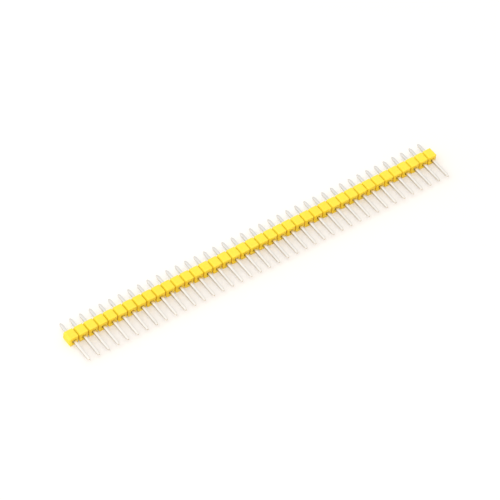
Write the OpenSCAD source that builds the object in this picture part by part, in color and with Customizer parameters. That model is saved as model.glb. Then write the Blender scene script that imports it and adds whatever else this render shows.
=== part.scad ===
// Snap-off pin header strip: one row of square pins pressed through a moulded insulator housing.
//
// The strip lies on one side face of its housing. X runs along the row, Y along the pins with the
// short tails towards +Y and the long tails towards -Y, and Z is up. The origin is on the surface
// that the strip lies on, under the middle of the row and halfway along the pins. All sizes are in
// millimetres.

/* [Row] */
// Number of pins in the row
pin_count = 40; // [2:1:56]
// Distance between the centres of neighbouring pins
pitch = 2.54; // [2.2:0.01:5.08]

/* [Housing] */
// Width of the housing, from the side face that it lies on to the side face on top
housing_width = 2.5; // [2:0.02:4]
// Length of the housing along the pins
housing_length = 2.54; // [1.8:0.02:6]
// Mouth of the V groove across each side face, where the strip snaps apart
side_groove_mouth = 0.5; // [0.2:0.05:1.2]
// Depth of the V groove across each side face
side_groove_depth = 0.6; // [0.1:0.05:0.8]
// Width of the slot that parts two neighbouring cells on the face that the long tails stand out of
cell_gap = 0.1; // [0.05:0.01:0.3]
// Depth of the slot between two cells
cell_gap_depth = 0.7; // [0.1:0.05:1.2]
// Radius of a cell's upright edges on the face that the long tails stand out of
cell_edge_radius = 0.45; // [0.1:0.05:0.7]
// Side of the square pocket around each long tail, where it stands out of the housing
pocket_side = 0.9; // [0.7:0.05:1.2]
// Depth of the pocket around each long tail
pocket_depth = 0.5; // [0.1:0.05:1.2]

/* [Pins] */
// Side of the square pin
pin_side = 0.64; // [0.4:0.01:1]
// Length of the long tail, which stands out of the housing towards -Y
long_tail = 5.8; // [3:0.1:16]
// Length of the short tail, which stands out of the housing towards +Y
short_tail = 3.1; // [2:0.1:8]
// Length of the taper at each end of a pin
taper_length = 0.6; // [0.2:0.05:1.2]
// Side of the small square face at the end of each taper
tip_side = 0.32; // [0.1:0.01:0.39]

/* [Fit] */
// Gap between a pin and each wall of its hole, which is none because the pins are pressed in
hole_gap = 0; // [0:0.005:0.05]

/* [Hidden] */

row_length = pin_count * pitch;
pin_length = long_tail + housing_length + short_tail;
hole_side = pin_side + 2 * hole_gap;
// The pins are centred on Y, so the housing lies off centre, nearer to the ends of the short tails
housing_y = (long_tail - short_tail) / 2;
// Height of every pin's axis above the surface that the strip lies on
axis_height = housing_width / 2;
// How far a hole runs past each of the faces that it opens in
overrun = 1;
$fn = 48;

housing_yellow = [0.98, 0.88, 0.22];
tinned_metal = [0.86, 0.85, 0.82];

// Pins are numbered from 01 at the -X end of the row
function pin_name(pin) = str("pin_", pin < 10 ? "0" : "", pin);

// Place along the row of a pin's axis
function pin_x(pin) = (pin - 0.5) * pitch - row_length / 2;

// Place along the row of the joint after so many pins: joint 0 is the -X end of the housing
function joint_x(joint) = joint * pitch - row_length / 2;

// Upper edge of the outline with V grooves, from -X to +X: a V at each joint, half a V at each end
function grooved_edge() = [
    for (pin = [1:pin_count])
        each [
            [joint_x(pin - 1), housing_width / 2 - side_groove_depth],
            [joint_x(pin - 1) + side_groove_mouth / 2, housing_width / 2],
            [joint_x(pin) - side_groove_mouth / 2, housing_width / 2],
        ],
    [joint_x(pin_count), housing_width / 2 - side_groove_depth],
];

// An upper edge turned over into the lower edge of an outline, from +X to -X
function turned_over(edge) = [
    for (i = [len(edge) - 1:-1:0])
        [edge[i].x, -edge[i].y],
];

// Bar over the whole row, with V grooves across both of its side faces
module grooved_bar() {
    edge = grooved_edge();
    rotate([90, 0, 0])
        linear_extrude(height = housing_length, center = true)
            polygon(concat(edge, turned_over(edge)));
}

// Block as tall as the housing, from one place on Y to another, centred on X and Z
module block_between(y_low, y_high, length) {
    translate([-length / 2, y_low, -housing_width / 2])
        cube([length, y_high - y_low, housing_width]);
}

// Cell of one pin: square at the back, with two rounded upright edges at the front
module cell() {
    width = pitch - cell_gap;
    front = -housing_length / 2;
    back = housing_length / 2;
    round_x = width / 2 - cell_edge_radius;
    block_between(front + cell_edge_radius, back, width);
    block_between(front, back, 2 * round_x);
    for (side = [-1, 1])
        translate([side * round_x, front + cell_edge_radius, 0])
            cylinder(r = cell_edge_radius, h = housing_width, center = true);
}

// All cells side by side, joined behind the slots by one bar
module row_of_cells() {
    block_between(-housing_length / 2 + cell_gap_depth, housing_length / 2, row_length - cell_gap);
    for (pin = [1:pin_count])
        translate([pin_x(pin), 0, 0])
            cell();
}

// Square hole that one pin is pressed through, opening into the pocket around its long tail
module pin_hole(pin) {
    translate([pin_x(pin), 0, 0]) {
        cube([hole_side, housing_length + 2 * overrun, hole_side], center = true);
        translate([0, -housing_length / 2 + (pocket_depth - overrun) / 2, 0])
            cube([pocket_side, pocket_depth + overrun, pocket_side], center = true);
    }
}

// Insulator moulded in one piece: the row of cells, with grooves to snap it at and holes for pins
module housing() {
    color(housing_yellow)
        translate([0, housing_y, axis_height])
            difference() {
                intersection() {
                    grooved_bar();
                    row_of_cells();
                }
                for (pin = [1:pin_count])
                    pin_hole(pin);
            }
}

// Half of a pin's side view, from one end of the pin to the other: straight, with tapered ends
function pin_edge() = [
    [tip_side / 2, -pin_length / 2],
    [pin_side / 2, -pin_length / 2 + taper_length],
    [pin_side / 2, pin_length / 2 - taper_length],
    [tip_side / 2, pin_length / 2],
];

// The other half, from the far end of the pin back to the first
function opposite_pin_edge(edge) = [
    for (i = [len(edge) - 1:-1:0])
        [-edge[i].x, edge[i].y],
];

// Bar with the pin's side view, which tapers on two sides only
module pin_blank() {
    edge = pin_edge();
    linear_extrude(height = pin_side, center = true)
        polygon(concat(edge, opposite_pin_edge(edge)));
}

// Square pin that tapers on all four sides at both ends, where two such bars cross
module square_pin(pin) {
    color(tinned_metal)
        translate([pin_x(pin), 0, axis_height])
            intersection() {
                pin_blank();
                rotate([0, 90, 0])
                    pin_blank();
            }
}

housing();
for (pin = [1:pin_count])
    square_pin(pin);
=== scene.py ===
# %% [markdown]
# # A pin header strip, dressed for its portrait
#
# A pin header is a row of square metal pins pushed through a narrow bar of moulded plastic. The
# imported CAD model holds the true sizes. This lesson loads it, gives the plastic and the pins
# softer edges and finishes, whose colours also carry painted shade, and then sets up a table, soft
# light and a camera.

# %% Load the imported frame
import math
import bpy
import numpy as np
from mathutils import Matrix, Vector


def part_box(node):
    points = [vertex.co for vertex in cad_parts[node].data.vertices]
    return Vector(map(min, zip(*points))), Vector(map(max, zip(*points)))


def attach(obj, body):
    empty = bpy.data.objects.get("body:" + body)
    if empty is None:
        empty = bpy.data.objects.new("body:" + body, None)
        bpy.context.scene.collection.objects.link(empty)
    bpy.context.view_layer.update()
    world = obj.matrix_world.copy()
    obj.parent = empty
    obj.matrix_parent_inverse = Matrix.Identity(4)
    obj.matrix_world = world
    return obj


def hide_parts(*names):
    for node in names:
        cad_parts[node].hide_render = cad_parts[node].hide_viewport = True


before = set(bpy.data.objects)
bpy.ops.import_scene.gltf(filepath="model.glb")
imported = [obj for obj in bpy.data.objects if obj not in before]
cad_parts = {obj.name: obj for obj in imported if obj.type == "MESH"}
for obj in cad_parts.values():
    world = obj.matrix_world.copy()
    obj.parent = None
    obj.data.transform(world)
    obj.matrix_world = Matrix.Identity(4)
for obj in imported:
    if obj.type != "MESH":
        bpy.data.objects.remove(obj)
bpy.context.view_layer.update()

# %% [markdown]
# ## Sizes read from the frame
#
# Nothing is placed by eye. The box of each CAD node says where the plastic and every pin lie, so
# the shapes below are worked out in millimetres from those boxes. Only details that the boxes
# can't tell, such as the radius of an edge, are given here.

# %% Read the sizes
MM = 0.001
pin_names = sorted(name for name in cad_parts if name.startswith("pin_"))
pin_low = np.array([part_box(name)[0] for name in pin_names]) / MM
pin_high = np.array([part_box(name)[1] for name in pin_names]) / MM
pin_x = (pin_low[:, 0] + pin_high[:, 0]) / 2
pitch = (pin_x[-1] - pin_x[0]) / (len(pin_x) - 1)
pin_half = (pin_high[0, 0] - pin_low[0, 0]) / 2
bar_low, bar_high = (np.array(corner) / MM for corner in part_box("housing"))
axis_z = (bar_low[2] + bar_high[2]) / 2
print(len(pin_names), "pins,", round(pitch, 3), "mm apart,", round(2 * pin_half, 3), "mm square")

# %% [markdown]
# ## From arrays to a mesh
#
# Every surface here is a grid of points, computed as one array. A grid needs no list of faces
# typed by hand: each face joins a point to its neighbours in the row and in the next row. Where
# two surfaces meet they share the same points, so they are welded by rounding their places.

# %% Helpers that turn grids into one closed mesh
def grid_faces(rows, columns, closed_rows=False, closed_columns=False):
    """Quads of a grid whose points are stored row by row: each quad goes from a point to the
    next row, then to the next column, then back. A closed direction joins its end to its start."""
    index = np.arange(rows * columns).reshape(rows, columns)
    if closed_rows:
        index = np.concatenate([index, index[:1]], axis=0)
    if closed_columns:
        index = np.concatenate([index, index[:, :1]], axis=1)
    return np.stack([index[:-1, :-1], index[1:, :-1], index[1:, 1:], index[:-1, 1:]], axis=-1)


def welded(surfaces):
    """Stacks several surfaces and gives points at the same place, to a ten-thousandth of a
    millimetre, one number. A surface is its points, with any values in further columns, and its
    quads. Returns the points, the quads and the new number of each old point."""
    starts = np.cumsum([0] + [len(points) for points, _ in surfaces[:-1]])
    points = np.concatenate([points for points, _ in surfaces])
    quads = [quads.reshape(-1, 4) + start for (_, quads), start in zip(surfaces, starts)]
    places = np.round(points[:, :3], 4)
    _, first, number = np.unique(places, axis=0, return_index=True, return_inverse=True)
    number = number.reshape(-1)
    return points[first], number[np.concatenate(quads)], number


def enclosed_volume(points, faces):
    """Volume inside a closed mesh: the sum, over the triangles of each face, of the signed
    volume of the pyramid from the origin. It is positive when the faces point outwards."""
    total = 0.0
    for corners in {len(face) for face in faces}:
        ring = points[np.array([face for face in faces if len(face) == corners])]
        for k in range(1, corners - 1):
            normal = np.cross(ring[:, k], ring[:, k + 1])
            total += np.einsum("ij,ij->i", ring[:, 0], normal).sum() / 6
    return total


def make_piece(name, points, faces, values, material, sharp_fold=35):
    """Makes a mesh object at the origin from points in millimetres, with one point attribute for
    each named column of values, smooth faces, and sharp edges wherever it folds by more degrees
    than sharp_fold. Weighted normals keep the flat faces flat beside their rounded edges."""
    mesh = bpy.data.meshes.new(name)
    mesh.from_pydata((points * MM).tolist(), [], faces)
    for title, column in values.items():
        layer = mesh.attributes.new(title, "FLOAT", "POINT")
        layer.data.foreach_set("value", column.astype(np.float32))
    mesh.shade_smooth()
    mesh.set_sharp_from_angle(angle=math.radians(sharp_fold))
    mesh.materials.append(material)
    piece = bpy.data.objects.new(name, mesh)
    bpy.context.scene.collection.objects.link(piece)
    shading = piece.modifiers.new("even_shading", "WEIGHTED_NORMAL")
    shading.keep_sharp = True
    return piece

# %% [markdown]
# ## Colours and shared finishes
#
# Plastic and plated metal look different, but both carry very fine grain, faint handling marks
# and edges rubbed smooth, whose lighter colour is also a painted highlight. Each of these is a
# node group, made once, that puts out only masks and heights. The materials place the groups with
# their own values and keep the shader themselves.

# %% A helper for colours
def srgb(red, green, blue):
    """A screen colour, 0 to 255, as the linear colour that a shader reads, by the sRGB curve."""
    c = np.array([red, green, blue]) / 255
    linear = np.where(c <= 0.04045, c / 12.92, ((c + 0.055) / 1.055) ** 2.4)
    return (*linear.tolist(), 1.0)


print("a screen grey of 128 is", round(srgb(128, 128, 128)[0], 3), "to a shader")

# %% Helpers for numbers that flow through nodes
def feed(tree, socket, value):
    """Sets a socket to a number or a colour, or links it to the output that gives its value."""
    if isinstance(value, (int, float, tuple)):
        socket.default_value = value
    else:
        tree.links.new(value, socket)


def math_node(tree, operation, a, b):
    """One Math node. Each of its two values is a number or the output that gives it."""
    node = tree.nodes.new("ShaderNodeMath")
    node.operation = operation
    feed(tree, node.inputs[0], a)
    feed(tree, node.inputs[1], b)
    return node.outputs[0]


def times(tree, a, b):
    """A Math node that multiplies."""
    return math_node(tree, "MULTIPLY", a, b)


def plus(tree, a, b):
    """A Math node that adds."""
    return math_node(tree, "ADD", a, b)


def span(tree, value, low, high, to_low, to_high):
    """A Map Range node: as value goes from low to high, its result goes from to_low to to_high."""
    node = tree.nodes.new("ShaderNodeMapRange")
    feed(tree, node.inputs["Value"], value)
    ends = {"From Min": low, "From Max": high, "To Min": to_low, "To Max": to_high}
    for title, number in ends.items():
        node.inputs[title].default_value = number
    return node.outputs["Result"]

# %% Helpers for colours and noise that flow through nodes
def blend(tree, mask, first, second):
    """A Mix node for colours: first where mask is 0 and second where it is 1."""
    node = tree.nodes.new("ShaderNodeMix")
    node.data_type = "RGBA"
    feed(tree, node.inputs["Factor"], mask)
    colour_inputs = [socket for socket in node.inputs if socket.type == "RGBA"]
    feed(tree, colour_inputs[0], first)
    feed(tree, colour_inputs[1], second)
    return [socket for socket in node.outputs if socket.type == "RGBA"][0]


def noise(tree, vector, scale, detail=2.0, roughness=0.5):
    """A Noise node on the given coordinates. Scale counts its waves in each metre."""
    node = tree.nodes.new("ShaderNodeTexNoise")
    feed(tree, node.inputs["Vector"], vector)
    feed(tree, node.inputs["Scale"], scale)
    feed(tree, node.inputs["Detail"], detail)
    feed(tree, node.inputs["Roughness"], roughness)
    return node.outputs["Fac"]

# %% Helpers for node groups
def new_group(name, numbers, results):
    """An empty shader node group that takes coordinates and named numbers, each with its usual
    value, and gives named numbers back. Returns it with its input and output nodes."""
    group = bpy.data.node_groups.new(name, "ShaderNodeTree")
    group.interface.new_socket("Vector", in_out="INPUT", socket_type="NodeSocketVector")
    for title, value in numbers.items():
        socket = group.interface.new_socket(title, in_out="INPUT", socket_type="NodeSocketFloat")
        socket.default_value = value
    for title in results:
        group.interface.new_socket(title, in_out="OUTPUT", socket_type="NodeSocketFloat")
    return group, group.nodes.new("NodeGroupInput"), group.nodes.new("NodeGroupOutput")


def place(tree, group, vector, **values):
    """Places a node group in a material, on the given coordinates, with its own values."""
    node = tree.nodes.new("ShaderNodeGroup")
    node.node_tree = group
    for title, value in {"Vector": vector, **values}.items():
        feed(tree, node.inputs[title], value)
    return node.outputs

# %% [markdown]
# ### Grain
#
# A steel mould is finished by sparks, which leave a matt skin of tiny hills on everything cast in
# it, and a drawn wire has a skin of its own. Two noises of different size, added together, make
# both. The group gives the hills as a height and, from the finer noise, a speckle for roughness.

# %% Build the grain group
grain, taken, given = new_group("fine_grain", {"Waves": 8000.0}, ["Height", "Speckle"])
where, waves = taken.outputs["Vector"], taken.outputs["Waves"]
coarse = noise(grain, where, waves, 2.0)
fine = noise(grain, where, times(grain, waves, 3.1), 3.0, 0.6)
hills = plus(grain, times(grain, coarse, 0.65), times(grain, fine, 0.35))
feed(grain, given.inputs["Height"], hills)
feed(grain, given.inputs["Speckle"], span(grain, fine, 0.3, 0.7, 0.0, 1.0))
print("group", grain.name, "has", len(grain.nodes), "nodes")

# %% [markdown]
# ### Handling marks
#
# Fingers and packing leave faint cloudy patches, a few millimetres across, that are a little
# glossier or duller than the rest. A noise of several sizes, cut off below its middle, gives
# patches with soft, uneven borders. A slower noise gives a cloud that shades the colour.

# %% Build the handling group
handling, taken, given = new_group("handling_marks", {"Waves": 250.0}, ["Mask", "Cloud"])
where, waves = taken.outputs["Vector"], taken.outputs["Waves"]
patches = noise(handling, where, waves, 4.0, 0.55)
slow = noise(handling, where, times(handling, waves, 0.35), 1.0)
feed(handling, given.inputs["Mask"], span(handling, patches, 0.48, 0.66, 0.0, 1.0))
feed(handling, given.inputs["Cloud"], span(handling, slow, 0.3, 0.7, 0.0, 1.0))
print("group", handling.name, "has", len(handling.nodes), "nodes")

# %% [markdown]
# ### Rubbed edges, with a painted highlight
#
# An edge that everything touches loses its matt skin first, in broken stretches. The materials
# also paint it lighter, which is a painted highlight. Each mesh carries an "edge" value that is 1
# on its edges. The group breaks that value up with noise, so the polish comes and goes along the
# edge instead of following it like a painted line.

# %% Build the edge group
edge_wear_and_highlight, taken, given = new_group("edge_wear_and_highlight_mask", {"Edge": 0.0, "Waves": 900.0}, ["Mask"])
broken = noise(edge_wear_and_highlight, taken.outputs["Vector"], taken.outputs["Waves"], 4.0, 0.6)
wear_and_highlight = times(edge_wear_and_highlight, taken.outputs["Edge"], span(edge_wear_and_highlight, broken, 0.35, 0.6, 0.0, 1.0))
feed(edge_wear_and_highlight, given.inputs["Mask"], wear_and_highlight)
print("group", edge_wear_and_highlight.name, "has", len(edge_wear_and_highlight.nodes), "nodes")

# %% [markdown]
# ### What every material does
#
# Each material starts from a Principled shader and the piece's own coordinates. It lays a few
# colours over its base, each by a mask, and turns the grain's height into a bump whose distance
# is the real height of the hills in metres.

# %% Helpers for materials
def start_material(name):
    """A material with a fresh Principled shader. Returns it, its tree, the shader and the
    piece's own coordinates."""
    material = bpy.data.materials.new(name)
    material.use_nodes = True
    tree = material.node_tree
    where = tree.nodes.new("ShaderNodeTexCoord").outputs["Object"]
    return material, tree, tree.nodes["Principled BSDF"], where


def read_value(tree, title):
    """The point attribute of that name, as a number."""
    node = tree.nodes.new("ShaderNodeAttribute")
    node.attribute_name = title
    return node.outputs["Fac"]


def overlay(tree, base, layers):
    """Lays colours over a base, one after the other, each by its mask times its share."""
    for mask, share, colour in layers:
        base = blend(tree, times(tree, mask, share), base, colour)
    return base


def add_relief(tree, shader, height, strength, distance):
    """A Bump node that tilts the shader's normal by a height, which is 1 at the given distance."""
    node = tree.nodes.new("ShaderNodeBump")
    feed(tree, node.inputs["Height"], height)
    feed(tree, node.inputs["Strength"], strength)
    feed(tree, node.inputs["Distance"], distance)
    feed(tree, shader.inputs["Normal"], node.outputs["Normal"])

# %% [markdown]
# ## Yellow insulator plastic
#
# The bar is glass-filled polyester, dyed through in yellow. Its colour carries painted shade: the
# side faces are the lit yellow, while the faces that the pins come out of, the back and the ends
# are painted a deeper, warmer shaded yellow, and the slots, rounded cell edges and pockets in the
# front are painted a nearly orange shade. Values stored on the mesh say which is which. The
# grooves are painted darker as painted shade, and a little subsurface scattering lets light sink
# in.

# %% Make the plastic
plastic, tree, shader, where = start_material("yellow_plastic")
skin = place(tree, grain, where, Waves=9000.0)
touch = place(tree, handling, where, Waves=260.0)
edges = place(tree, edge_wear_and_highlight, where, Edge=read_value(tree, "edge"), Waves=1400.0)
clear = blend(tree, touch["Cloud"], srgb(251, 229, 74), srgb(251, 225, 68))
# Painted shade: the side faces get the lit yellow, and all other faces a deeper, warmer shaded
# yellow.
body = blend(tree, read_value(tree, "side"), srgb(255, 221, 46), clear)
body = overlay(tree, body, [
    # Rubbed edges: wear, and their lighter colour is also a painted highlight.
    (edges["Mask"], 0.35, srgb(255, 238, 92)),
    # Painted shade: the V grooves are painted a darker olive yellow.
    (read_value(tree, "deep"), 0.4, srgb(182, 184, 20)),
    # Painted shade: the slots, the rounded cell edges, the pockets and the holes are painted
    # orange-brown.
    (read_value(tree, "slot"), 0.9, srgb(196, 125, 0)),
])
feed(tree, shader.inputs["Base Color"], body)
gloss = span(tree, skin["Speckle"], 0.0, 1.0, 0.36, 0.46)
gloss = plus(tree, gloss, times(tree, touch["Mask"], -0.06))
gloss = plus(tree, gloss, times(tree, edges["Mask"], -0.1))
feed(tree, shader.inputs["Roughness"], gloss)
add_relief(tree, shader, skin["Height"], 0.35, 0.000015)
shader.inputs["IOR"].default_value = 1.5
shader.inputs["Specular IOR Level"].default_value = 0.3
shader.inputs["Subsurface Weight"].default_value = 0.15
shader.inputs["Subsurface Radius"].default_value = (1.0, 0.8, 0.25)
shader.inputs["Subsurface Scale"].default_value = 0.0003
print("plastic:", len(tree.nodes), "nodes")

# %% [markdown]
# ## Tin plate
#
# The pins are cut from a plated strip. Their upper and lower faces keep the bright tin, with fine
# lines along the pin and cloudy patches. Their side faces are painted darker as painted shade and
# a painted dark reflection of the shaded table, most of all near the bar. The short solder tails
# stay matt, and the cut ends show a warmer metal. The lines are a noise stretched along Y by a
# Mapping node.

# %% Make the plated metal
plate, tree, shader, where = start_material("tin_plate")
stretch = tree.nodes.new("ShaderNodeMapping")
feed(tree, stretch.inputs["Vector"], where)
stretch.inputs["Scale"].default_value = (1.0, 0.04, 1.0)
drawn = place(tree, grain, stretch.outputs["Vector"], Waves=12000.0)
touch = place(tree, handling, where, Waves=420.0)
edges = place(tree, edge_wear_and_highlight, where, Edge=read_value(tree, "edge"), Waves=2200.0)
metal = blend(tree, touch["Cloud"], srgb(243, 239, 232), srgb(238, 234, 227))
metal = overlay(tree, metal, [
    (touch["Mask"], 0.35, srgb(228, 223, 214)),
    (read_value(tree, "solder"), 0.8, srgb(222, 220, 215)),
    # Painted shade and painted dark reflection: the side faces are painted darker, most near the
    # bar.
    (read_value(tree, "painted_side_shade"), 1.0, srgb(180, 172, 160)),
    # Rubbed edges: wear, and their lighter colour is also a painted highlight.
    (edges["Mask"], 0.4, srgb(248, 245, 239)),
    (read_value(tree, "cut"), 0.75, srgb(196, 178, 140)),
])
feed(tree, shader.inputs["Base Color"], metal)
gloss = span(tree, drawn["Speckle"], 0.0, 1.0, 0.27, 0.35)
gloss = plus(tree, gloss, times(tree, touch["Mask"], 0.08))
gloss = plus(tree, gloss, times(tree, read_value(tree, "solder"), 0.12))
feed(tree, shader.inputs["Roughness"], gloss)
add_relief(tree, shader, drawn["Height"], 0.3, 0.000006)
shader.inputs["Metallic"].default_value = 1.0
print("tin plate:", len(tree.nodes), "nodes")

# %% [markdown]
# ## The insulator: stations along the row
#
# The bar could be a box with forty booleans, but a moulded bar is easier to draw as a loft: a
# rounded section that changes as it travels along the row. At each joint the section gets lower,
# for the V grooves above and below, and shorter, for the slot and the rounded cell edges. The two
# end faces get a tiny rounded rim, and one more ring inside it that frames the flat middle.

# %% Sizes of the joints and openings
slot_half = 0.05
slot_depth = 0.7
cell_radius = 0.45
groove_half = 0.25
groove_depth = 0.6
softness = 0.035
pocket_half = 0.45
pocket_depth = 0.5
hole_play = 0.002
hole_half = pin_half + hole_play


def front_depth(u):
    """How far the front of the bar lies back, at a distance u from a joint: the slot's depth
    within the slot, then a quarter circle that ends where the cell's flat front begins."""
    across = np.clip(cell_radius - (u - slot_half), 0, cell_radius)
    return np.where(u < slot_half, slot_depth, cell_radius - np.sqrt(cell_radius**2 - across**2))


def groove_drop(u):
    """How far the side face sinks at a distance u from a joint: a straight V, with its valley and
    its mouth rounded by taking the square root of the distance squared plus a softness squared."""
    near = groove_half - np.sqrt(u**2 + softness**2)
    slope = groove_depth / (groove_half - softness)
    return slope * (near + np.sqrt(near**2 + softness**2)) / 2


print("groove in its valley:", round(float(groove_drop(0.0)), 3), "mm deep")

# %% Work out the stations
least_step = 0.01
slot_lines = slot_half * np.array([0.0, 0.4, 0.9])
round_turn = np.radians(np.linspace(10, 90, 8))
round_lines = slot_half + cell_radius * (1 - np.cos(round_turn))
mouth_lines = groove_half + softness * np.linspace(-2, 2, 5)
lines = np.unique(np.round(np.concatenate([slot_lines, round_lines, mouth_lines]), 4))
lines = lines[np.concatenate([[True], np.diff(lines) > least_step])]
flat_lines = pitch / 2 - np.array([pocket_half, hole_half, 0.0])
half_cell = np.concatenate([lines, flat_lines])
whole_cell = np.concatenate([half_cell, pitch - half_cell[-2:0:-1]])
row_start = pin_x[0] - pitch / 2
station_x = (row_start + pitch * np.arange(len(pin_x))[:, None] + whole_cell).reshape(-1)
print(len(half_cell), "lines in half a cell,", len(station_x), "stations before the trim")

# %% Trim the stations at the two ends and round the rims
rim_radius = 0.04
rim_room = 0.05
frame_width = 0.12
end_turn = np.radians([0, 0, 30, 60, 90])
end_step = rim_radius * (1 - np.cos(end_turn))
end_inset = rim_radius * (1 - np.sin(end_turn)) + np.array([frame_width, 0, 0, 0, 0])
inside = (station_x > bar_low[0] + rim_room) & (station_x < bar_high[0] - rim_room)
station_x = np.concatenate([
    bar_low[0] + end_step, station_x[inside], bar_high[0] - end_step[::-1]])
inset = np.concatenate([end_inset, np.zeros(inside.sum()), end_inset[::-1]])
on_end = np.zeros(len(station_x), bool)
on_end[:len(end_turn)] = on_end[-len(end_turn):] = True
from_joint = np.abs((station_x - row_start + pitch / 2) % pitch - pitch / 2)
from_joint = np.where(on_end, np.maximum(from_joint, slot_half), from_joint)
depth = front_depth(from_joint)
drop = groove_drop(from_joint)
print(len(station_x), "stations, from", round(station_x[0], 3), "to", round(station_x[-1], 3), "mm")

# %% [markdown]
# ## The insulator: its section
#
# The section starts on the front face, goes over the top, down the back and home underneath.
# Its four corners are quarter circles of three steps. The front face has points where the pocket
# and the hole lie, and the back where the hole lies, so the openings can be left out of the grid
# cleanly. A list of the section's parts says which column of the grid belongs to which face.

# %% Sweep the section along the stations
edge_radius = 0.09
quarter = np.radians([0, 30, 60, 90])
section_parts = [
    ("opening", 5), ("front", 1), ("corner", 4), ("top", 3), ("corner", 4),
    ("back", 3), ("corner", 4), ("bottom", 3), ("corner", 4), ("front", 1),
]
part_names, part_sizes = zip(*section_parts)
part_of_column = np.repeat(part_names, part_sizes)
columns = len(part_of_column)


def bar_section(front, back, half_height, radius):
    """Points of the section at every station, as (stations, points, 2) of Y and Z. Straight
    stretches sit at fixed lines or even shares, and each corner is a quarter circle."""
    front, half_height = front[:, None], half_height[:, None]
    back = back[:, None] * np.ones_like(front)
    one = np.ones_like(front)
    between = pocket_half + (half_height - radius - pocket_half) / 2
    over = front + radius + (back - front - 2 * radius) * np.array([0.25, 0.5, 0.75])
    sin, cos = radius * np.sin(quarter), radius * np.cos(quarter)
    parts = [
        (front * np.ones(5), np.array([-pocket_half, -hole_half, 0, hole_half, pocket_half]) * one),
        (front, between),
        (front + radius - cos, half_height - radius + sin),
        (over, half_height * np.ones(3)),
        (back - radius + sin, half_height - radius + cos),
        (back * np.ones(3), np.array([hole_half, 0, -hole_half]) * one),
        (back - radius + cos, -(half_height - radius + sin)),
        (over[:, ::-1], -half_height * np.ones(3)),
        (front + radius - sin, -(half_height - radius + cos)),
        (front, -between),
    ]
    return np.stack([np.concatenate([part[k] for part in parts], axis=1) for k in (0, 1)], axis=-1)


front = bar_low[1] + depth + inset
back = bar_high[1] - inset
half_height = (bar_high[2] - bar_low[2]) / 2 - drop - inset
section = bar_section(front, back, half_height, edge_radius)
print("section of", columns, "points at", len(station_x), "stations:", section.shape)

# %% [markdown]
# A moulded face is never quite flat. As the plastic cools it shrinks most where it is thickest,
# so each side face sinks by a hundredth of a millimetre around its pin. That is too little to
# measure in the box but enough to bend a highlight. Each point also gets four values for its
# colour: edge for rubbed edges with a lighter painted highlight, deep for painted shade in the
# grooves, side for the side faces, which keep the lit yellow while all other faces get a painted
# shaded yellow, and slot for painted shade in the front openings.

# %% Add the sink marks
sink_depth = 0.012
sink = sink_depth * np.cos(np.pi * (1 - 2 * from_joint / pitch) / 2) ** 2
inward = 1.0 * (part_of_column == "bottom") - 1.0 * (part_of_column == "top")
section[:, :, 1] += sink[:, None] * inward
skin_points = np.concatenate(
    [np.repeat(station_x[:, None, None], columns, axis=1), section], axis=-1)
skin_points[:, :, 2] += axis_z
print("sink marks up to", round(sink.max(), 4), "mm deep")

# %% Work out the edge value
off_axis = 0.6
mouth_width = 0.04
edge_of_column = np.zeros(columns)
edge_of_column[part_of_column == "corner"] = np.tile([0.5, 1.0, 1.0, 0.5], 4)
edge_of_station = np.exp(-((from_joint - groove_half) / mouth_width) ** 2)
groove_mouth = edge_of_station[:, None] * (np.abs(section[:, :, 1]) > off_axis)
edge_value = np.maximum(edge_of_column, groove_mouth)
edge_value[[2, 3, -4, -3]] = 1.0  # the middle rings of the two rims
edge_value[[0, -1]] = 0.0  # the rings that frame the flat ends
print("points on an edge:", int((edge_value > 0.5).sum()), "of", edge_value.size)

# %% Work out the side, deep and slot values
ramp = [0.0, 0.35, 0.8, 1.0]
over_a_side = ramp + [1.0] * 3 + ramp[::-1]  # a corner, the three points of the face, a corner
corner_starts = np.flatnonzero(part_of_column == "corner")[::len(ramp)]
side_of_column = np.zeros(columns)
for start in corner_starts[::2]:
    side_of_column[start:start + len(over_a_side)] = over_a_side
# Painted shade: every point off the side faces, the end faces too, gets the shaded yellow.
side_value = side_of_column * (inset < rim_radius)[:, None]

from_row_end = np.minimum(station_x - station_x[0], station_x[-1] - station_x)
between_cells = from_row_end > cell_radius
# Painted shade in the V grooves, stronger where they are deeper, and none at the row ends.
groove_shade_value = side_of_column * (np.clip(drop / groove_depth, 0, 1) * between_cells)[:, None]
groove_shade_value = np.where(edge_value > 0.4, groove_shade_value * 0.5, groove_shade_value)  # less painted groove shade on the edges

on_front = np.isin(part_of_column, ["opening", "front"])
on_front[[corner_starts[0], corner_starts[-1] + 3]] = True  # the corner points on the front face
# Painted shade in the slot and on the rounded cell edges, strongest where deepest.
recess_shade_value = on_front * (np.clip(depth / cell_radius, 0, 1) ** 2 * between_cells)[:, None]

values = {"edge": edge_value, "deep": groove_shade_value, "side": side_value, "slot": recess_shade_value}
titles = list(values)
skin = np.concatenate([skin_points, np.stack(list(values.values()), axis=-1)], axis=-1)
print("skin:", skin.shape[0] * skin.shape[1], "points with", titles)

# %% [markdown]
# ## The insulator: pockets and holes
#
# Each pin stands in a shallow square pocket with a small lead-in, and passes on through a tight
# hole to the back. The grid leaves both openings out. A wall, a floor and a tube, each a small
# grid of its own, share their outer points with the grid and close the shape.

# %% Leave the openings out of the skin
quads = grid_faces(len(station_x), columns, closed_columns=True)
middle = (station_x[1:] + station_x[:-1]) / 2
from_pin = np.abs((middle - pin_x[0] + pitch / 2) % pitch - pitch / 2)
keep = np.ones(quads.shape[:2], bool)
for part, half in (("opening", pocket_half), ("back", hole_half)):
    keep[np.ix_(from_pin < half, np.flatnonzero(part_of_column == part)[:-1])] = False
print(int((~keep).sum()), "quads left out of", keep.size)

# %% Helpers for rings around a pin
value_columns = [3 + titles.index("edge"), 3 + titles.index("slot")]


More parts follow.
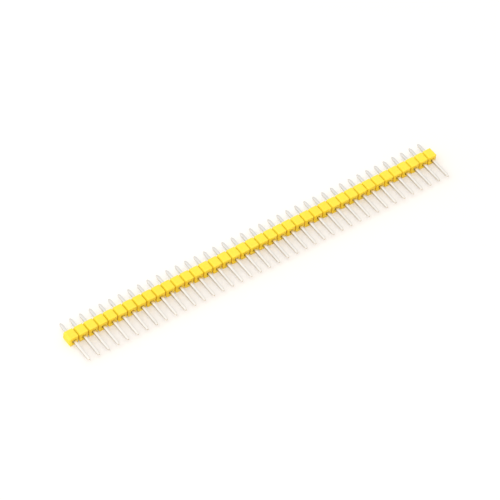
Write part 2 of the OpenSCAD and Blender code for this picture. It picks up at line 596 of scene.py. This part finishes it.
def square_ring(half, marks):
    """Points of a square of the given half side, counter-clockwise seen from the front, with a
    point at each corner and at each mark along its sides, as X and Z from the pin's axis."""
    along = np.concatenate([[-half], marks])
    side = np.full_like(along, half)
    return np.concatenate([
        np.stack([along, -side], 1), np.stack([side, along], 1),
        np.stack([-along, side], 1), np.stack([-side, -along], 1),
    ])


def ring_surface(rings, depths, edge_and_slot):
    """Joins rings of X and Z at their own places on Y into one surface, for every pin at once:
    rows go round the ring and columns go from ring to ring. Each ring has an edge and a slot
    value."""
    rings = np.stack(rings, axis=1)
    count, levels = rings.shape[:2]
    points = np.zeros((len(pin_x), count, levels, skin.shape[-1]))
    points[..., 0] = pin_x[:, None, None] + rings[None, ..., 0]
    points[..., 1] = np.array(depths)
    points[..., 2] = axis_z + rings[None, ..., 1]
    points[..., value_columns] = np.array(edge_and_slot)
    faces = grid_faces(count, levels, closed_rows=True).reshape(-1, 4)
    shift = count * levels * np.arange(len(pin_x))[:, None, None]
    return points.reshape(-1, skin.shape[-1]), (faces[None] + shift).reshape(-1, 4)


# %% Draw the walls, floors and tubes of all pins at once
lead = 0.03
marks = np.array([-hole_half, 0.0, hole_half])
mouth, inner = square_ring(pocket_half, marks), square_ring(pocket_half - lead, marks)
floor_y = bar_low[1] + pocket_depth
# Painted shade: the deeper pocket walls, the pocket floors and the holes carry a slot value of 1.
walls = ring_surface(
    [mouth, inner, inner], [bar_low[1], bar_low[1] + lead, floor_y],
    [[0.6, 0.0], [0.3, 0.3], [0.0, 1.0]])
hole = square_ring(hole_half, np.array([0.0]))
tubes = ring_surface([hole, hole], [floor_y, bar_high[1]], [[0.0, 1.0], [0.0, 1.0]])

floor_lines = np.array([-pocket_half + lead, -hole_half, 0.0, hole_half, pocket_half - lead])
across, upward = np.meshgrid(floor_lines, floor_lines, indexing="ij")
floor_points = np.zeros((len(pin_x), *across.shape, skin.shape[-1]))
floor_points[..., 0] = pin_x[:, None, None] + across
floor_points[..., 1] = floor_y
floor_points[..., 2] = axis_z + upward
floor_points[..., value_columns] = [0.0, 1.0]
around_hole = np.ones((4, 4), bool)
around_hole[1:3, 1:3] = False
floor_shift = across.size * np.arange(len(pin_x))[:, None, None]
floors = (
    floor_points.reshape(-1, skin.shape[-1]),
    grid_faces(*across.shape)[around_hole][None] + floor_shift,
)
print("walls", len(walls[1]), "tubes", len(tubes[1]), "floors", floors[1].size // 4, "quads")

# %% Weld everything into one closed bar
skin_surface = (skin.reshape(-1, skin.shape[-1]), quads[keep])
points, faces, number = welded([skin_surface, walls, tubes, floors])
first_ring = number[np.arange(columns)].tolist()
last_ring = number[(len(station_x) - 1) * columns + np.arange(columns)].tolist()
all_faces = faces.tolist() + [first_ring, last_ring[::-1]]
volume = enclosed_volume(points[:, :3], all_faces)
print("bar:", len(points), "points,", len(all_faces), "faces,", round(volume, 1), "cubic mm inside")
bar_values = {title: points[:, 3 + k] for k, title in enumerate(titles)}
bar = make_piece("insulator_bar", points[:, :3], all_faces, bar_values, plastic)
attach(bar, "root")
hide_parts("housing")

# %% [markdown]
# ## The pins
#
# A pin is a length of square wire with softly rounded edges. Both ends are coined to a blunt
# taper, and the cut leaves a small flat. The shape is one square profile carried along the pin:
# its half side follows the taper, and every pin is the same array moved to its own place. The
# pin's values are edge, cut for the two ends, painted_side_shade for the painted shade on the
# sides and solder for the short tail.

# %% Sizes and formulas of a pin
pin_ends = (pin_low[0, 1], pin_high[0, 1])
taper = 0.6
tip_half = 0.16
shoulder_softness = 0.012
end_rounding = 0.03
edge_share, least_edge, full_edge = 0.17, 0.02, 0.05


def pin_half_side(distance):
    """Half side of the pin at a distance from its end: a straight taper from the tip to the full
    side, whose shoulder is rounded by a soft minimum, less a quarter circle at the very end."""
    straight = tip_half + (pin_half - tip_half) * distance / taper
    apart = np.sqrt((straight - pin_half) ** 2 + shoulder_softness**2)
    shoulder = (straight + pin_half - apart) / 2
    short_of = 1 - np.clip(distance / end_rounding, 0, 1)
    end = end_rounding * (1 - np.sqrt(np.clip(1 - short_of**2, 0, 1)))
    return np.minimum(shoulder, pin_half) - end


def rounded_square(half, radius, steps=4):
    """A square profile with quarter-circle corners: each corner is its centre plus the radius
    times the sine and cosine of the angles of its quarter. Returns (sizes, points, 2)."""
    turns = np.radians([0, 90, 180, 270])[:, None]
    angles = np.radians(np.linspace(0, 90, steps))[None, :] + turns
    centre = np.stack([np.sign(np.cos(angles.mean(1))), np.sign(np.sin(angles.mean(1)))], 1)
    ring = np.stack([np.cos(angles), np.sin(angles)], -1)
    half, radius = half[:, None, None, None], radius[:, None, None, None]
    points = (half - radius) * centre[None, :, None, :] + radius * ring[None]
    return points.reshape(len(half), -1, 2)


print("half side at the tip:", round(float(pin_half_side(np.array(0.0))), 3), "mm")

# %% Carry the square profile along a pin
near_end = np.array([0.0, 0.004, 0.015, 0.03, 0.15, 0.3, 0.45, 0.54, 0.58, 0.62, 0.68, 0.8])
shank_margin = 1.3
shank = np.linspace(pin_ends[0] + shank_margin, pin_ends[1] - shank_margin, 18)
pin_y = np.concatenate([pin_ends[0] + near_end, shank, pin_ends[1] - near_end[::-1]])
from_end = np.minimum(pin_y - pin_ends[0], pin_ends[1] - pin_y)
side = pin_half_side(from_end)
profile = rounded_square(side, np.clip(edge_share * side, least_edge, full_edge))
ring_count = profile.shape[1]
one_pin = np.empty((len(pin_y), ring_count, 3))
one_pin[..., 0], one_pin[..., 2] = profile[..., 0], profile[..., 1] + axis_z
one_pin[..., 1] = pin_y[:, None]
pin_quads = grid_faces(len(pin_y), ring_count, closed_columns=True).reshape(-1, 4)
first_ring = np.arange(ring_count)
last_ring = first_ring[::-1] + (len(pin_y) - 1) * ring_count
pin_faces = pin_quads[:, ::-1].tolist() + [first_ring.tolist(), last_ring.tolist()]
volume = enclosed_volume(one_pin.reshape(-1, 3), pin_faces)
print("one pin:", len(pin_y) * ring_count, "points,", round(volume, 2), "cubic mm inside")

# %% Work out the pin's values
from_bar = np.maximum(np.maximum(bar_low[1] - pin_y, pin_y - bar_high[1]), 0)
bar_shade_reach = 1.5
cut_reach = 0.02
solder_fade = 0.1
solder = np.clip((pin_y - bar_high[1]) / solder_fade, 0, 1)[:, None]
# Painted shade: the side faces are darker near the bar, where shade falls, and less so on the
# solder tail.
bar_shade = (0.35 + 0.65 * np.exp(-from_bar / bar_shade_reach))[:, None] * (1 - 0.8 * solder)
tapered = np.clip(from_end / taper, 0, 1)[:, None]
on_sides = np.tile([1.0, 0.67, 0.33, 0.0, 0.0, 0.33, 0.67, 1.0], 2)
whole_pin = np.ones((len(pin_y), ring_count))
pin_values = {
    "edge": whole_pin * np.tile([0.4, 1.0, 1.0, 0.4], 4),
    "cut": whole_pin * np.clip(1 - from_end / cut_reach, 0, 1)[:, None],
    "painted_side_shade": on_sides * bar_shade * tapered,
    "solder": whole_pin * solder,
}
print("pin values:", list(pin_values))

# %% Make a piece for each pin
for name, x in zip(pin_names, pin_x):
    pin = make_piece(
        "plated_" + name, one_pin.reshape(-1, 3) + np.array([x, 0.0, 0.0]), pin_faces,
        {title: value.reshape(-1) for title, value in pin_values.items()}, plate)
    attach(pin, "root")
    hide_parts(name)
print(len(pin_names), "pins made")

# %% [markdown]
# ## Table
#
# The strip lies on a white table that fades into a white room. The table is a plain matt surface
# that takes the real shadow. To keep it bright behind the object, rays from the camera and from
# shiny or clear surfaces see it mixed with a plain white glow.

# %% Make the table
def backdrop_rays(tree):
    """1 for rays from the camera and from shiny or clear surfaces, and 0 for all others."""
    path = tree.nodes.new("ShaderNodeLightPath").outputs
    seen = math_node(tree, "MAXIMUM", path["Is Camera Ray"], path["Is Glossy Ray"])
    return math_node(tree, "MAXIMUM", seen, path["Is Transmission Ray"])


def mixed_shaders(tree, mask, first, second):
    """A Mix Shader node: first where mask is 0 and second where it is 1."""
    node = tree.nodes.new("ShaderNodeMixShader")
    for socket, output in zip(node.inputs, (mask, first, second)):
        tree.links.new(output, socket)
    return node.outputs[0]


def white_glow_table(size, share):
    """A square table of the given size. The share says how much of it is a plain white glow."""
    material, tree, shader, where = start_material("white_table")
    tint = blend(tree, noise(tree, where, 30.0, 3.0), srgb(251, 251, 251), srgb(248, 248, 248))
    feed(tree, shader.inputs["Base Color"], tint)
    shader.inputs["Roughness"].default_value = 0.9
    glow = tree.nodes.new("ShaderNodeEmission")
    glow.inputs["Strength"].default_value = 1.0
    mask = times(tree, backdrop_rays(tree), share)
    surface = mixed_shaders(tree, mask, shader.outputs[0], glow.outputs[0])
    tree.links.new(surface, tree.nodes["Material Output"].inputs["Surface"])
    mesh = bpy.data.meshes.new("table")
    corners = np.array([(-1, -1, 0), (1, -1, 0), (1, 1, 0), (-1, 1, 0)]) * size / 2
    mesh.from_pydata(corners.tolist(), [], [(0, 1, 2, 3)])
    mesh.materials.append(material)
    table = bpy.data.objects.new("table", mesh)
    bpy.context.scene.collection.objects.link(table)
    return table


table = white_glow_table(size=4.0, share=0.2)
print("table:", table.name)

# %% [markdown]
# ## Light
#
# A strip this small is usually lit by one large soft lamp overhead in a pale room. The room is
# brightest above and to the left, and gets dimmer evenly towards the lower right. Its front wall
# is warm, so the front faces and the shadows between the pins turn slightly peach. Shiny metal
# sees that wall paler, or the pins would look brassy from behind. A white backdrop stands behind
# the table on all sides, and the camera and the metal both see it. The lamp is a wide square panel.

# %% Make the room
WHITE = (1.0, 1.0, 1.0, 1.0)


def pale_room(toward, dim, bright, warm_side, warm):
    """A world that is brightest in one direction: its strength goes evenly from dim, straight
    away from that direction, to bright, straight towards it. A second direction is where its
    colour turns from white to warm, which shiny surfaces see paler. The camera and shiny or
    clear surfaces see a plain white backdrop in place of the room's lowest part: all of it up to
    where a ray climbs by a tenth of its length, and none of it from three tenths."""
    world = bpy.data.worlds.new("pale_room")
    bpy.context.scene.world = world
    world.use_nodes = True
    tree = world.node_tree
    ray = tree.nodes.new("ShaderNodeTexCoord").outputs["Generated"]

    def along(direction):
        """How far a ray goes in a direction, from -1 to 1: the dot product of the two."""
        node = tree.nodes.new("ShaderNodeVectorMath")
        node.operation = "DOT_PRODUCT"
        tree.links.new(ray, node.inputs[0])
        node.inputs[1].default_value = Vector(direction).normalized()
        return node.outputs["Value"]

    glossy = tree.nodes.new("ShaderNodeLightPath").outputs["Is Glossy Ray"]
    paler = span(tree, glossy, 0.0, 1.0, 1.0, 0.4)
    warmth = times(tree, span(tree, along(warm_side), -0.3, 1.0, 0.0, 1.0), paler)
    sky = tree.nodes["Background"]
    feed(tree, sky.inputs["Color"], blend(tree, warmth, WHITE, warm))
    feed(tree, sky.inputs["Strength"], span(tree, along(toward), -1.0, 1.0, dim, bright))
    white = tree.nodes.new("ShaderNodeBackground")
    white.inputs["Color"].default_value = WHITE
    low_down = span(tree, along((0.0, 0.0, 1.0)), 0.1, 0.3, 1.0, 0.0)
    mask = times(tree, backdrop_rays(tree), low_down)
    surface = mixed_shaders(tree, mask, sky.outputs[0], white.outputs[0])
    tree.links.new(surface, tree.nodes["World Output"].inputs["Surface"])


pale_room(
    toward=(-0.5, 0.15, 0.8), dim=0.09, bright=1.37,
    warm_side=(0.3, -1.0, -0.3), warm=srgb(255, 212, 152))
print("room:", len(bpy.context.scene.world.node_tree.nodes), "nodes")

# %% Hang the lamp
def soft_panel(name, place_at, aim_at, size, power):
    """A square lamp of the given size in metres, turned to face the point that it is aimed at."""
    lamp = bpy.data.lights.new(name, "AREA")
    lamp.shape = "SQUARE"
    lamp.size = size
    lamp.energy = power
    holder = bpy.data.objects.new(name, lamp)
    bpy.context.scene.collection.objects.link(holder)
    holder.location = place_at
    facing = Vector(aim_at) - Vector(place_at)
    holder.rotation_euler = facing.to_track_quat("-Z", "Y").to_euler()


soft_panel("overhead_panel", (-0.45, 0.0, 0.75), (0.0, 0.0, 0.0), size=0.8, power=1.2)
bpy.context.scene.view_settings.view_transform = "Standard"

# %% [markdown]
# ## Camera
#
# The camera looks down at the strip from its front left, turned a little about its own axis so
# that the row runs across the picture at an angle. It stands about six hand-widths away behind a
# long lens, so the far pins are only a little smaller than the near ones.

# %% Make the camera
def aimed_camera(centre, azimuth, elevation, roll, distance, aside, lens):
    """A camera that looks back along a direction given by azimuth and elevation, turned by roll
    about that line. Aside moves it in its own picture plane, to the left and down."""
    a, e, r = (math.radians(angle) for angle in (azimuth, elevation, roll))
    back = Vector((math.sin(a) * math.cos(e), -math.cos(a) * math.cos(e), math.sin(e)))
    level = Vector((math.cos(a), math.sin(a), 0.0))
    upright = back.cross(level)
    right = math.cos(r) * level + math.sin(r) * upright
    up = math.cos(r) * upright - math.sin(r) * level
    data = bpy.data.cameras.new("camera")
    data.sensor_width = 36.0
    data.lens = lens
    data.clip_end = 50.0
    camera = bpy.data.objects.new("camera", data)
    bpy.context.scene.collection.objects.link(camera)
    place_at = centre - right * aside[0] - up * aside[1] + back * distance
    turned = Matrix((right, up, back)).transposed().to_4x4()
    camera.matrix_world = Matrix.Translation(place_at) @ turned
    return camera


bar_middle = Vector(((bar_low[0] + bar_high[0]) / 2, (bar_low[1] + bar_high[1]) / 2, 0.0)) * MM
bpy.context.scene.camera = aimed_camera(
    bar_middle, azimuth=-42.198, elevation=50.041, roll=7.991, distance=0.62123,
    aside=(0.0012756, 0.0005644), lens=200.4408)
print("camera at", [round(v, 3) for v in bpy.context.scene.camera.location])
